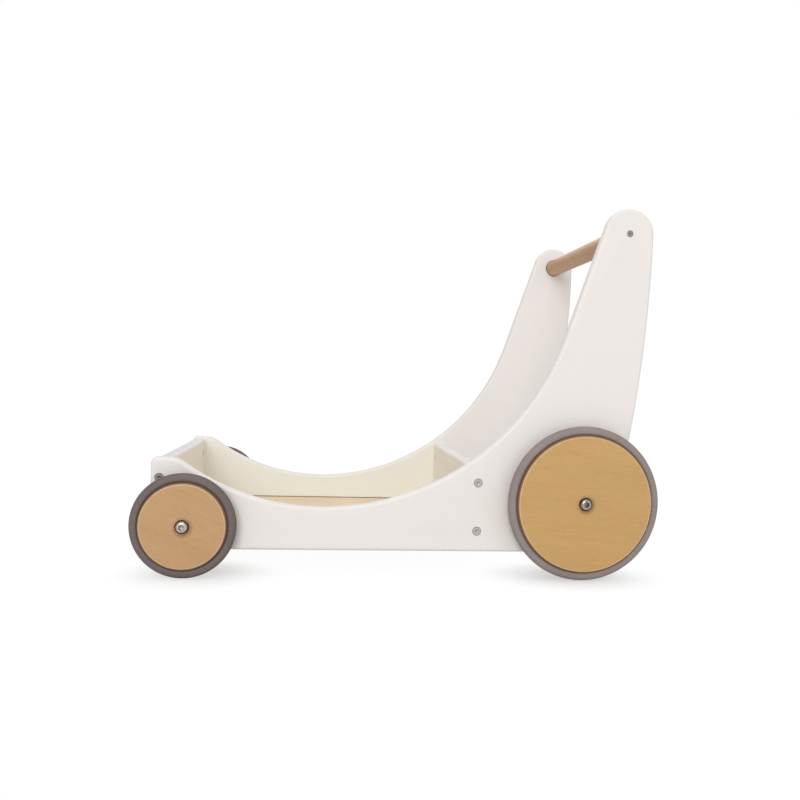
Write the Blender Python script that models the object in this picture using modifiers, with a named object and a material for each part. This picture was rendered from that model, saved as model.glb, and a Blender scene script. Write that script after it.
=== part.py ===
"""Wooden push walker: a white cargo cradle between two side panels, on four rubber-tyred wheels.

Metres, +Z up. The walker is pushed towards -X; its left side is -Y and its right side +Y.
The origin lies on the floor, midway along and across the walker.
"""

import math

import bmesh
import bpy
from mathutils import Vector

# Fits
SEAT_GAP = 0.0003  # left between pieces that touch
END_PLAY = 0.0007  # of a wheel along its axle bolt

# Wheels
WHEELBASE = 0.4338
REAR_WHEEL_RADIUS = 0.0855
FRONT_WHEEL_RADIUS = 0.0557
DISC_THICKNESS = 0.015
DISC_EDGE_RADIUS = 0.0032
RIM_LAND = 0.0013  # flat of the rim beside its groove
RIM_GROOVE_DEPTH = 0.002
TYRE_DEPTH = 0.0091  # rubber that stands outside the disc's rim
TYRE_SET_IN = 0.0025  # of the tyre's flanks from the disc's faces
TYRE_SHOULDER_RADIUS = 0.003
TYRE_CROWN = 0.0006  # how much higher the middle of the tread is than its shoulders
HUB_RECESS_MARGIN = 0.0012  # round the bolt head
HUB_RECESS_DEPTH = 0.005
BUSH_WALL = 0.002

# Axle bolts, each screwed into a threaded sleeve in the side panel
AXLE_THREAD_RADIUS = 0.003
AXLE_SHOULDER_STEP = 0.001  # from the thread out to the smooth part
AXLE_HEAD_OVERHANG = 0.0022
AXLE_HEAD_HEIGHT = 0.0065
AXLE_HEAD_EDGE = 0.0008
AXLE_SOCKET_FLATS = 0.0055
AXLE_SOCKET_DEPTH = 0.003
AXLE_TIP_SHORT = 0.001  # of the sleeve's inner end
WASHER_UNDER_HEAD = 0.0003  # from the rim of the head
WASHER_THICKNESS = 0.0015
SPACER_RADIUS = 0.009
SPACER_LENGTH = 0.006
SLEEVE_WALL = 0.0017
SLEEVE_SINK = 0.0002  # below the panel's outer face
SLEEVE_COVER = 0.0025  # wood left behind the sleeve

# Cargo floor, let into grooves below the axles of the front wheels
FLOOR_BELOW_FRONT_AXLE = 0.0139
FLOOR_THICKNESS = 0.006
FLOOR_GROOVE_DEPTH = 0.004

# Side panels: a nose over the front wheel, a low belly, and a post up to the handle
INNER_WIDTH = 0.278
PANEL_THICKNESS = 0.012
PANEL_ROUNDOVER = 0.004
PANEL_EDGE_BELOW_FLOOR = 0.0085
NOSE_AHEAD_OF_FRONT_AXLE = 0.0377
NOSE_RISE = 0.0992  # rises are heights above the panel's lower edge
NOSE_FLAT_LENGTH = 0.018
NOSE_CORNER_RADIUS = 0.0075
SHOULDER_RADIUS = 0.028
BELLY_BEHIND_FRONT_AXLE = 0.1438
BELLY_RISE = 0.0472
HANDLE_BEHIND_REAR_AXLE = 0.0475
HANDLE_BEHIND_BELLY_ARC = 0.0555
POST_RISE = 0.3607
POST_CAP_RADIUS = 0.0283
BACK_RADIUS = 1.5
HEEL_BEHIND_REAR_AXLE = 0.030
FOOT_CORNER_RADIUS = 0.008

# Cargo boards
BOARD_THICKNESS = 0.016
BOARD_EDGE_RADIUS = 0.004
BOARD_BELOW_NOSE = 0.0033
BOARD_FOOT_RISE = 0.001
FRONT_BOARD_SET_BACK = 0.0016  # from the nose of the panels
REAR_BOARD_AHEAD_OF_REAR_AXLE = 0.1242

# Connector bolts through the panels, each into a barrel nut in a board
UPPER_BOLT_BELOW_TOP = 0.0189
LOWER_BOLT_ABOVE_FLOOR = 0.0087
BOLT_RADIUS = 0.0025
BOLT_HEAD_OVERHANG = 0.002
BOLT_HEAD_RIM = 0.001
BOLT_SOCKET_FLATS = 0.004
BOLT_SOCKET_DEPTH = 0.0022
HEAD_SINK = 0.0002  # of a flat head below the panel's face
BOLT_PAST_NUT = 0.004
NUT_WALL = 0.0017
NUT_COVER = 0.0035  # wood left behind the nut
NUT_FROM_PANEL = 0.016
NUT_SLOT_WIDTH = 0.0014
NUT_SLOT_DEPTH = 0.0012

# Push handle
BAR_RADIUS = 0.0113
BAR_END_CHAMFER = 0.0008
BAR_SOCKET_DEPTH = 0.004
SCREW_RADIUS = 0.002
SCREW_HEAD_OVERHANG = 0.0015
SCREW_HEAD_RIM = 0.0006
SCREW_LENGTH = 0.045
SCREW_SOCKET_FLATS = 0.003
SCREW_SOCKET_DEPTH = 0.0014

# How finely round things are drawn
REAR_WHEEL_STEPS = 32
FRONT_WHEEL_STEPS = 28
BAR_STEPS = 24
AXLE_STEPS = 12
BOLT_STEPS = 8
BOARD_EDGE_STEPS = 3
OUTLINE_TOLERANCE = 0.00018  # of a chord to its arc
SHARP_ANGLE = math.radians(35)
WELD_DISTANCE = 0.00001
CUT_OVERRUN = 0.004  # of a cutter past an open face

SIDES = {"left": -1, "right": 1}

# Places along the walker
REAR_AXLE_X = (WHEELBASE + FRONT_WHEEL_RADIUS - REAR_WHEEL_RADIUS) / 2
FRONT_AXLE_X = REAR_AXLE_X - WHEELBASE
NOSE_X = FRONT_AXLE_X - NOSE_AHEAD_OF_FRONT_AXLE
BELLY_X = FRONT_AXLE_X + BELLY_BEHIND_FRONT_AXLE
HANDLE_X = REAR_AXLE_X + HANDLE_BEHIND_REAR_AXLE
FRONT_BOARD_INNER_X = NOSE_X + FRONT_BOARD_SET_BACK + BOARD_THICKNESS
REAR_BOARD_INNER_X = REAR_AXLE_X - REAR_BOARD_AHEAD_OF_REAR_AXLE

# Heights above the floor, and the panels' outer faces
FLOOR_TOP = FRONT_WHEEL_RADIUS - FLOOR_BELOW_FRONT_AXLE
FLOOR_BASE = FLOOR_TOP - FLOOR_THICKNESS
UNDERSIDE = FLOOR_BASE - PANEL_EDGE_BELOW_FLOOR
NOSE_TOP = UNDERSIDE + NOSE_RISE
BELLY_TOP = UNDERSIDE + BELLY_RISE
CAP_Z = UNDERSIDE + POST_RISE
BOARD_FOOT = UNDERSIDE + BOARD_FOOT_RISE
BOARD_TOP = NOSE_TOP - BOARD_BELOW_NOSE
BOLT_HEIGHTS = {"upper": BOARD_TOP - UPPER_BOLT_BELOW_TOP, "lower": FLOOR_TOP + LOWER_BOLT_ABOVE_FLOOR}
PANEL_OUTER_Y = INNER_WIDTH / 2 + PANEL_THICKNESS

# Radii round an axle, and heights along it outwards from the panel's outer face
AXLE_RADIUS = AXLE_THREAD_RADIUS + AXLE_SHOULDER_STEP
AXLE_HEAD_RADIUS = AXLE_RADIUS + AXLE_HEAD_OVERHANG
HUB_RECESS_RADIUS = AXLE_HEAD_RADIUS + HUB_RECESS_MARGIN
WASHER_RADIUS = AXLE_HEAD_RADIUS - WASHER_UNDER_HEAD
BUSH_RADIUS = AXLE_RADIUS + SEAT_GAP + BUSH_WALL
SPACER_FACE = SEAT_GAP + SPACER_LENGTH
WHEEL_BACK = SPACER_FACE + END_PLAY
WHEEL_MIDDLE = WHEEL_BACK + DISC_THICKNESS / 2
WHEEL_FACE = WHEEL_BACK + DISC_THICKNESS
HUB_FLOOR = WHEEL_FACE - HUB_RECESS_DEPTH
WASHER_BASE = HUB_FLOOR + SEAT_GAP
WASHER_FACE = WASHER_BASE + WASHER_THICKNESS
AXLE_HEAD_BASE = WASHER_FACE + SEAT_GAP
SLEEVE_END = SLEEVE_COVER - PANEL_THICKNESS
RIM_GROOVE_HALF = DISC_THICKNESS / 2 - DISC_EDGE_RADIUS - RIM_LAND
TYRE_HALF = DISC_THICKNESS / 2 - TYRE_SET_IN


def linear(red, green, blue):
    """A screen colour, 0 to 255, as the linear colour that a shader takes."""
    return [((c / 255 + 0.055) / 1.055) ** 2.4 if c > 10 else c / 3294 for c in (red, green, blue)] + [1.0]


def finish(name, colour, roughness, metallic=0.0):
    """A plain material in the colour of the piece."""
    material = bpy.data.materials.new(name)
    material.use_nodes = True
    shader = material.node_tree.nodes["Principled BSDF"]
    shader.inputs["Base Color"].default_value = linear(*colour)
    shader.inputs["Roughness"].default_value = roughness
    shader.inputs["Metallic"].default_value = metallic
    return material


def collection(name):
    made = bpy.data.collections.new(name)
    bpy.context.scene.collection.children.link(made)
    return made


def clear_scene():
    for old in list(bpy.data.objects):
        bpy.data.objects.remove(old, do_unlink=True)


clear_scene()
PARTS = collection("push_walker")
CUTTERS = collection("push_walker_cutters")
WHITE_LACQUER = finish("white_lacquer", (235, 230, 227), 0.45)
PLYWOOD = finish("clear_plywood", (213, 188, 157), 0.55)
TURNED_BEECH = finish("turned_beech", (190, 150, 112), 0.5)
WHEEL_WOOD = finish("wheel_wood", (198, 157, 103), 0.45)
GREY_RUBBER = finish("grey_rubber", (120, 110, 110), 0.7)
NYLON = finish("white_nylon", (225, 222, 214), 0.5)
NICKEL_STEEL = finish("nickel_steel", (190, 184, 176), 0.25, 1.0)
ZINC_STEEL = finish("zinc_steel", (168, 166, 164), 0.4, 1.0)
DARK_STEEL = finish("dark_steel", (112, 108, 106), 0.4, 1.0)


class Place:
    """Where a piece stands: a point, and the direction in which the piece's own Z axis looks."""

    def __init__(self, point, facing):
        self.point = Vector(point)
        self.turn = Vector((0, 0, 1)).rotation_difference(Vector(facing)).to_euler()

    def set(self, obj):
        obj.location = self.point
        obj.rotation_euler = self.turn


def add_part(obj, material):
    """Files an object as a sub-part, in one finish, smooth where it is round."""
    PARTS.objects.link(obj)
    obj.data.materials.append(material)
    obj.data.shade_smooth()
    obj.data.set_sharp_from_angle(angle=SHARP_ANGLE)
    return obj


def add_cutter(obj):
    CUTTERS.objects.link(obj)
    obj.hide_render = True
    obj.display_type = "WIRE"
    return obj


def cut(obj, *cutters):
    for cutter in cutters:
        modifier = obj.modifiers.new(cutter.name, "BOOLEAN")
        modifier.operation = "DIFFERENCE"
        modifier.object = cutter


def turned(name, profile, steps, ring=False):
    """A lathe shape from (radius, height) points that run down its outer side. A ring's profile is closed."""
    shape = bmesh.new()
    points = [shape.verts.new((radius, 0, height)) for radius, height in profile]
    ends = zip(points, points[1:] + points[:1]) if ring else zip(points, points[1:])
    for start, end in ends:
        shape.edges.new((start, end))
    mesh = bpy.data.meshes.new(name)
    shape.to_mesh(mesh)
    shape.free()
    obj = bpy.data.objects.new(name, mesh)
    screw = obj.modifiers.new("lathe", "SCREW")
    screw.steps = screw.render_steps = steps
    screw.use_merge_vertices = True
    screw.merge_threshold = WELD_DISTANCE
    return obj


def drilled(name, radius, top, bottom, steps):
    """A plain round cutter from one height to another."""
    return turned(name, [(0, top), (radius, top), (radius, bottom), (0, bottom)], steps)


def prism(name, flats, top, bottom):
    """A six-sided cutter for a key socket."""
    mesh = bpy.data.meshes.new(name)
    shape = bmesh.new()
    corner = flats / math.sqrt(3)
    size = {"radius1": corner, "radius2": corner, "depth": top - bottom}
    bmesh.ops.create_cone(shape, cap_ends=True, segments=6, **size)
    bmesh.ops.translate(shape, verts=shape.verts, vec=(0, 0, (top + bottom) / 2))
    shape.to_mesh(mesh)
    shape.free()
    return bpy.data.objects.new(name, mesh)


def box(name, low, high):
    mesh = bpy.data.meshes.new(name)
    shape = bmesh.new()
    bmesh.ops.create_cube(shape, size=1)
    bmesh.ops.scale(shape, verts=shape.verts, vec=Vector(high) - Vector(low))
    bmesh.ops.translate(shape, verts=shape.verts, vec=(Vector(high) + Vector(low)) / 2)
    shape.to_mesh(mesh)
    shape.free()
    return bpy.data.objects.new(name, mesh)


def slab(name, outline, thickness, roundover):
    """A flat piece sawn to an outline in X and Z, as a mesh centred on Y = 0, with its edges rounded over."""
    curve = bpy.data.curves.new(name, "CURVE")
    curve.dimensions = "2D"
    curve.fill_mode = "BOTH"
    curve.extrude = thickness / 2 - roundover
    curve.bevel_depth = roundover
    curve.bevel_resolution = 1
    curve.offset = -roundover
    spline = curve.splines.new("POLY")
    spline.points.add(len(outline) - 1)
    for point, (x, z) in zip(spline.points, outline):
        point.co = (x, z, 0, 1)
    spline.use_cyclic_u = True
    drawn = bpy.data.objects.new(name + "_outline", curve)
    bpy.context.scene.collection.objects.link(drawn)
    graph = bpy.context.evaluated_depsgraph_get()
    mesh = bpy.data.meshes.new_from_object(drawn.evaluated_get(graph))
    bpy.data.objects.remove(drawn)
    shape = bmesh.new()
    shape.from_mesh(mesh)
    bmesh.ops.remove_doubles(shape, verts=shape.verts, dist=WELD_DISTANCE)
    shape.to_mesh(mesh)
    shape.free()
    mesh.name = name
    obj = bpy.data.objects.new(name, mesh)
    Place((0, 0, 0), (0, -1, 0)).set(obj)
    return obj


def polar(centre, radius, angle):
    return Vector((centre[0] + radius * math.cos(angle), centre[1] + radius * math.sin(angle)))


def arc(centre, radius, start, end):
    """Points along an arc, close enough for the outline's tolerance."""
    step = 2 * math.acos(1 - OUTLINE_TOLERANCE / radius)
    count = max(2, math.ceil(abs(end - start) / step))
    return [polar(centre, radius, start + (end - start) * i / count) for i in range(count + 1)]


def direction(start, end):
    return math.atan2(end[1] - start[1], end[0] - start[0])


def back_centre(cap, heel):
    """Centre of the back edge's arc, which touches the cap from outside and passes through the heel."""
    reach = BACK_RADIUS - POST_CAP_RADIUS
    between = (heel - cap).length
    along = (reach**2 - BACK_RADIUS**2 + between**2) / (2 * between)
    towards = (heel - cap) / between
    forwards = Vector((towards.y, -towards.x))
    return cap + towards * along + forwards * math.sqrt(reach**2 - along**2)


def panel_outline():
    """Edge of a side panel in X and Z, round from its heel. Neighbouring arcs and lines are tangent."""
    quarter = math.pi / 2
    cap = Vector((HANDLE_X, CAP_Z))
    back = back_centre(cap, Vector((REAR_AXLE_X + HEEL_BEHIND_REAR_AXLE, UNDERSIDE)))
    foot_z = UNDERSIDE + FOOT_CORNER_RADIUS
    inside = BACK_RADIUS - FOOT_CORNER_RADIUS
    heel = Vector((back.x + math.sqrt(inside**2 - (foot_z - back.y) ** 2), foot_z))
    heel_turn = direction(back, heel)
    cap_turn = direction(back, cap)

    rear_radius = HANDLE_X - BELLY_X - HANDLE_BEHIND_BELLY_ARC
    belly_rear = Vector((BELLY_X, BELLY_TOP + rear_radius))
    spread = (rear_radius + POST_CAP_RADIUS) / (cap - belly_rear).length
    lean = direction(belly_rear, cap) - math.acos(spread)

    shoulder = Vector((NOSE_X + NOSE_FLAT_LENGTH, NOSE_TOP - SHOULDER_RADIUS))
    ahead = BELLY_X - shoulder.x
    drop = shoulder.y - BELLY_TOP
    front_radius = (ahead**2 + drop**2 - SHOULDER_RADIUS**2) / (2 * (SHOULDER_RADIUS + drop))
    belly_front = Vector((BELLY_X, BELLY_TOP + front_radius))
    rise = direction(shoulder, belly_front)

    nose = Vector((NOSE_X + NOSE_CORNER_RADIUS, NOSE_TOP - NOSE_CORNER_RADIUS))
    toe = Vector((NOSE_X + FOOT_CORNER_RADIUS, foot_z))
    return (
        arc(heel, FOOT_CORNER_RADIUS, -quarter, heel_turn)
        + arc(back, BACK_RADIUS, heel_turn, cap_turn)[1:]
        + arc(cap, POST_CAP_RADIUS, cap_turn, lean + math.pi)[1:]
        + arc(belly_rear, rear_radius, lean, -quarter)
        + arc(belly_front, front_radius, -quarter, rise - math.pi)[1:]
        + arc(shoulder, SHOULDER_RADIUS, rise, quarter)[1:]
        + arc(nose, NOSE_CORNER_RADIUS, quarter, 2 * quarter)
        + arc(toe, FOOT_CORNER_RADIUS, 2 * quarter, 3 * quarter)
    )


def side_face(side, x, z):
    """The outer face of a side panel at a point, looking outwards."""
    return Place((x, side * PANEL_OUTER_Y, z), (0, side, 0))


def side_panel(label, cutters):
    panel = slab("side_panel_" + label, panel_outline(), PANEL_THICKNESS, PANEL_ROUNDOVER)
    panel.location.y = SIDES[label] * (PANEL_OUTER_Y - PANEL_THICKNESS / 2)
    cut(panel, *cutters)
    return add_part(panel, WHITE_LACQUER)


def cargo_board(name, inner_x, facing, cutters):
    """A board across the cradle between the two panels, its long edges rounded."""
    outer_x = inner_x - facing * BOARD_THICKNESS
    reach = INNER_WIDTH / 2 - SEAT_GAP
    low = (min(inner_x, outer_x), -reach, BOARD_FOOT)
    high = (max(inner_x, outer_x), reach, BOARD_TOP)
    board = box(name, low, high)
    weights = board.data.attributes.new("bevel_weight_edge", "FLOAT", "EDGE")
    corners = board.data.vertices
    for edge in board.data.edges:
        start, end = (corners[i].co.y for i in edge.vertices)
        weights.data[edge.index].value = float(start * end < 0)
    rounding = board.modifiers.new("rounded_edges", "BEVEL")
    rounding.width = BOARD_EDGE_RADIUS
    rounding.segments = BOARD_EDGE_STEPS
    rounding.limit_method = "WEIGHT"
    cut(board, *cutters)
    return add_part(board, WHITE_LACQUER)


def cargo_floor():
    """The plywood floor, let into a groove in both panels and both boards; returns the groove."""
    half_width = INNER_WIDTH / 2 + FLOOR_GROOVE_DEPTH
    low = Vector((FRONT_BOARD_INNER_X - FLOOR_GROOVE_DEPTH, -half_width, FLOOR_BASE))
    high = Vector((REAR_BOARD_INNER_X + FLOOR_GROOVE_DEPTH, half_width, FLOOR_TOP))
    ends = Vector((SEAT_GAP, SEAT_GAP, 0))
    faces = Vector((0, 0, SEAT_GAP))
    add_part(box("cargo_floor", low + ends, high - ends), PLYWOOD)
    return add_cutter(box("cut_floor_groove", low - faces, high + faces))


def flat_head(name, radius, overhang, rim, length, socket_flats, socket_depth, place, material):
    """A countersunk screw with a key socket, below a panel's face; returns the hole that it fills."""
    wide = radius + overhang
    top = -HEAD_SINK
    bottom = top - rim - overhang
    profile = [(0, top), (wide, top), (wide, top - rim), (radius, bottom), (radius, -length), (0, -length)]
    screw = add_part(turned(name, profile, BOLT_STEPS), material)
    socket = add_cutter(prism("cut_socket_" + name, socket_flats, CUT_OVERRUN, top - socket_depth))
    cut(screw, socket)
    profile = [
        (0, CUT_OVERRUN),
        (wide + SEAT_GAP, CUT_OVERRUN),
        (wide + SEAT_GAP, top - rim - SEAT_GAP),
        (radius + SEAT_GAP, bottom - SEAT_GAP),
        (radius + SEAT_GAP, -length - SEAT_GAP),
        (0, -length - SEAT_GAP),
    ]
    hole = add_cutter(turned("cut_hole_" + name, profile, BOLT_STEPS))
    for obj in (screw, socket, hole):
        place.set(obj)
    return hole


def connector(board_name, level, label, inner_x, facing):
    """A connector bolt and its slotted barrel nut; returns the bolt's hole and the nut's hole."""
    side = SIDES[label]
    name = "_".join((board_name, level, label))
    x = inner_x - facing * BOARD_THICKNESS / 2
    z = BOLT_HEIGHTS[level]
    nut_radius = BOLT_RADIUS + SEAT_GAP + NUT_WALL
    length = PANEL_THICKNESS + NUT_FROM_PANEL + nut_radius + BOLT_PAST_NUT
    head = (BOLT_HEAD_OVERHANG, BOLT_HEAD_RIM, length, BOLT_SOCKET_FLATS, BOLT_SOCKET_DEPTH)
    bolt_hole = flat_head("connector_bolt_" + name, BOLT_RADIUS, *head, side_face(side, x, z), ZINC_STEEL)

    top = -SEAT_GAP
    bottom = -BOARD_THICKNESS + NUT_COVER + SEAT_GAP
    nut = add_part(drilled("barrel_nut_" + name, nut_radius, top, bottom, BOLT_STEPS), ZINC_STEEL)
    low = (-NUT_SLOT_WIDTH / 2, -NUT_FROM_PANEL / 2, top - NUT_SLOT_DEPTH)
    high = (NUT_SLOT_WIDTH / 2, NUT_FROM_PANEL / 2, CUT_OVERRUN)
    slot = add_cutter(box("cut_slot_" + name, low, high))
    wide = nut_radius + SEAT_GAP
    nut_hole = add_cutter(drilled("cut_nut_" + name, wide, CUT_OVERRUN, bottom - SEAT_GAP, BOLT_STEPS))
    place = Place((inner_x, side * (INNER_WIDTH / 2 - NUT_FROM_PANEL), z), (facing, 0, 0))
    for obj in (nut, slot, nut_hole):
        place.set(obj)
    cut(nut, bolt_hole, slot)
    return bolt_hole, nut_hole


def push_handle():
    """The round bar and its two screws; returns the holes that each panel needs for them."""
    end = INNER_WIDTH / 2 + BAR_SOCKET_DEPTH - SEAT_GAP
    near = end - BAR_END_CHAMFER
    flat = BAR_RADIUS - BAR_END_CHAMFER
    profile = [(0, end), (flat, end), (BAR_RADIUS, near), (BAR_RADIUS, -near), (flat, -end), (0, -end)]
    bar = add_part(turned("handle_bar", profile, BAR_STEPS), TURNED_BEECH)
    Place((HANDLE_X, 0, CAP_Z), (0, 1, 0)).set(bar)
    socket_floor = -PANEL_THICKNESS + BAR_SOCKET_DEPTH
    past = -PANEL_THICKNESS - CUT_OVERRUN
    holes = {}
    for label, side in SIDES.items():
        place = side_face(side, HANDLE_X, CAP_Z)
        head = (SCREW_HEAD_OVERHANG, SCREW_HEAD_RIM, SCREW_LENGTH, SCREW_SOCKET_FLATS, SCREW_SOCKET_DEPTH)
        screw_hole = flat_head("handle_screw_" + label, SCREW_RADIUS, *head, place, DARK_STEEL)
        socket = drilled("cut_bar_" + label, BAR_RADIUS + SEAT_GAP, socket_floor, past, BAR_STEPS)
        place.set(add_cutter(socket))
        cut(bar, screw_hole)
        holes[label] = [screw_hole, socket]
    return holes


def rounded(radius, height, edge, *angles):
    """Points round the edge of a turned profile."""
    return [polar((radius, height), edge, math.radians(angle)) for angle in angles]


def wheel_disc(name, radius, steps):
    """The wooden disc: rounded edges, a groove round the rim, a hub bore and a recess for the bolt head."""
    edge = DISC_EDGE_RADIUS
    floor = radius - RIM_GROOVE_DEPTH
    bore = BUSH_RADIUS + SEAT_GAP
    upper = WHEEL_MIDDLE + RIM_GROOVE_HALF
    lower = WHEEL_MIDDLE - RIM_GROOVE_HALF
    rim = [(radius, upper), (floor, upper), (floor, lower), (radius, lower)]
    hub = [(bore, WHEEL_BACK), (bore, HUB_FLOOR)]
    recess = [(HUB_RECESS_RADIUS, HUB_FLOOR), (HUB_RECESS_RADIUS, WHEEL_FACE)]
    face_edge = rounded(radius - edge, WHEEL_FACE - edge, edge, 90, 45, 0)
    back_edge = rounded(radius - edge, WHEEL_BACK + edge, edge, 0, -45, -90)
    return add_part(turned(name, face_edge + rim + back_edge + hub + recess, steps, ring=True), WHEEL_WOOD)


def tyre(name, radius, steps):
    """The rubber ring: a crowned tread on soft shoulders, with a rib inside that fills the rim's groove."""
    edge = TYRE_SHOULDER_RADIUS
    inner = radius - TYRE_DEPTH + SEAT_GAP
    deep = inner - RIM_GROOVE_DEPTH
    rib = RIM_GROOVE_HALF - SEAT_GAP
    bend = TYRE_HALF - edge
    shoulder = radius - TYRE_CROWN - edge
    tread = rounded(shoulder, WHEEL_MIDDLE + bend, edge, 90, 45, 0)
    tread += [(radius, WHEEL_MIDDLE)]
    tread += rounded(shoulder, WHEEL_MIDDLE - bend, edge, 0, -45, -90)
    seat = [(inner, -TYRE_HALF), (inner, -rib), (deep, -rib), (deep, rib), (inner, rib), (inner, TYRE_HALF)]
    profile = tread + [(r, WHEEL_MIDDLE + height) for r, height in seat]
    return add_part(turned(name, profile, steps, ring=True), GREY_RUBBER)


def hollow(name, radius, bore, top, bottom, material):
    """A plain ring: a washer, spacer or bush."""
    profile = [(radius, top), (radius, bottom), (bore, bottom), (bore, top)]
    return add_part(turned(name, profile, AXLE_STEPS, ring=True), material)


def axle_bolt(name):
    """A key-socket head, the smooth part that the wheel turns on, and a thinner thread; with its socket."""
    top = AXLE_HEAD_BASE + AXLE_HEAD_HEIGHT
    shoulder = SPACER_FACE + SEAT_GAP
    tip = SLEEVE_END + AXLE_TIP_SHORT
    profile = [
        (0, top),
        (AXLE_HEAD_RADIUS - AXLE_HEAD_EDGE, top),
        (AXLE_HEAD_RADIUS, top - AXLE_HEAD_EDGE),
        (AXLE_HEAD_RADIUS, AXLE_HEAD_BASE),
        (AXLE_RADIUS, AXLE_HEAD_BASE),
        (AXLE_RADIUS, shoulder),
        (AXLE_THREAD_RADIUS, shoulder),
        (AXLE_THREAD_RADIUS, tip),
        (0, tip),
    ]
    bolt = add_part(turned(name, profile, AXLE_STEPS), NICKEL_STEEL)
    depth = top - AXLE_SOCKET_DEPTH
    socket = add_cutter(prism("cut_socket_" + name, AXLE_SOCKET_FLATS, top + CUT_OVERRUN, depth))
    cut(bolt, socket)
    return bolt, socket


def threaded_sleeve(name):
    """The threaded sleeve driven into the panel from outside, and the blind hole that it fills."""
    bore = AXLE_THREAD_RADIUS + SEAT_GAP
    radius = bore + SLEEVE_WALL
    sleeve = hollow(name, radius, bore, -SLEEVE_SINK, SLEEVE_END, ZINC_STEEL)
    bottom = SLEEVE_END - SEAT_GAP
    return sleeve, add_cutter(drilled("cut_" + name, radius + SEAT_GAP, CUT_OVERRUN, bottom, AXLE_STEPS))


def wheel(end, label, x, radius, steps):
    """A wheel on its axle bolt; the empty on its axis carries what turns. Returns the panel's hole."""
    name = "_".join((end, label))
    place = side_face(SIDES[label], x, radius)
    axis = bpy.data.objects.new("wheel_axis_" + name, None)
    PARTS.objects.link(axis)
    place.set(axis)
    running = AXLE_RADIUS + SEAT_GAP
    thread = AXLE_THREAD_RADIUS + SEAT_GAP
    disc = wheel_disc("wheel_disc_" + name, radius - TYRE_DEPTH, steps)
    band = tyre("tyre_" + name, radius, steps)
    bush = hollow("wheel_bush_" + name, BUSH_RADIUS, running, HUB_FLOOR, WHEEL_BACK, NYLON)
    for obj in (disc, band, bush):
        obj.parent = axis
    bolt, socket = axle_bolt("axle_bolt_" + name)
    washer = hollow("axle_washer_" + name, WASHER_RADIUS, running, WASHER_FACE, WASHER_BASE, ZINC_STEEL)
    spacer = hollow("axle_spacer_" + name, SPACER_RADIUS, thread, SPACER_FACE, SEAT_GAP, NYLON)
    sleeve, hole = threaded_sleeve("axle_sleeve_" + name)
    for obj in (bolt, socket, washer, spacer, sleeve, hole):
        place.set(obj)
    return hole


def walker():
    panel_holes = push_handle()
    groove = cargo_floor()
    for board_name, inner_x, facing in (("front", FRONT_BOARD_INNER_X, 1), ("rear", REAR_BOARD_INNER_X, -1)):
        board_holes = [groove]
        for level in BOLT_HEIGHTS:
            for label in SIDES:
                bolt_hole, nut_hole = connector(board_name, level, label, inner_x, facing)
                panel_holes[label].append(bolt_hole)
                board_holes += [bolt_hole, nut_hole]
        cargo_board(board_name + "_board", inner_x, facing, board_holes)
    for label, holes in panel_holes.items():
        holes.append(wheel("front", label, FRONT_AXLE_X, FRONT_WHEEL_RADIUS, FRONT_WHEEL_STEPS))
        holes.append(wheel("rear", label, REAR_AXLE_X, REAR_WHEEL_RADIUS, REAR_WHEEL_STEPS))
        side_panel(label, holes + [groove])


walker()
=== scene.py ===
import math
import bmesh
import bpy
from mathutils import Matrix, Vector


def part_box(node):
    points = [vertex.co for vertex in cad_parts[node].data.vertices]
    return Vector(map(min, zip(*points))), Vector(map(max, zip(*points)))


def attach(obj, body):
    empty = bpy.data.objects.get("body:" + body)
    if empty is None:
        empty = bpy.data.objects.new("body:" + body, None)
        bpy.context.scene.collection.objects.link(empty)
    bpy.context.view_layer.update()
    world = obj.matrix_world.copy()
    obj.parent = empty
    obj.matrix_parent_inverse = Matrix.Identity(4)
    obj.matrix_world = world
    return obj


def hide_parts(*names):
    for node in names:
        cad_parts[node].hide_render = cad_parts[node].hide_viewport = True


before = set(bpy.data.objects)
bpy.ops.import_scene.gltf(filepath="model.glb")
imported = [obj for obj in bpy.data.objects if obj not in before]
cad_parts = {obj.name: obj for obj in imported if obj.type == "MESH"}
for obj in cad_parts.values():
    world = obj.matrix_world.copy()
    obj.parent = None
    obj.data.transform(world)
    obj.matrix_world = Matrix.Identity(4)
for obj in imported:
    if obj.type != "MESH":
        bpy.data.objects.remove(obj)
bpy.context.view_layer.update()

# The two side panels: 12 mm board, sawn to one outline, edges rounded over on a router table and
# sprayed with white satin lacquer. Bolts through them hold the boards, the axles and the push bar.
# The outline is a chain of arcs, each drawn by swinging its first point about the arc's centre.


def node(tree, kind, inputs=None, **settings):
    """Adds a shader node; an input is given a plain value or the socket that feeds it."""
    made = tree.nodes.new(kind)
    for key, value in settings.items():
        setattr(made, key, value)
    for key, value in (inputs or {}).items():
        if isinstance(value, bpy.types.NodeSocket):
            tree.links.new(value, made.inputs[key])
        else:
            made.inputs[key].default_value = value
    return made


def sums(tree, operation, *values, **settings):
    """The result of a sum on plain values or sockets."""
    inputs = dict(enumerate(values))
    return node(tree, "ShaderNodeMath", inputs, operation=operation, **settings).outputs[0]


def noise(tree, place, scale, detail, roughness=0.5):
    """A cloudy grey, from about 0.2 to 0.8."""
    inputs = {"Vector": place, "Scale": scale, "Detail": detail, "Roughness": roughness}
    return node(tree, "ShaderNodeTexNoise", inputs).outputs["Fac"]


def remap(tree, value, start, stop, low=0.0, high=1.0, **settings):
    """Stretches a value so that start to stop becomes low to high."""
    ends = {"From Min": start, "From Max": stop, "To Min": low, "To Max": high}
    return node(tree, "ShaderNodeMapRange", {"Value": value, **ends}, **settings).outputs[0]


def mix(tree, factor, first, second):
    """A colour between two others."""
    inputs = {"Factor": factor, "A": first, "B": second}
    return node(tree, "ShaderNodeMix", inputs, data_type="RGBA").outputs["Result"]


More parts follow.
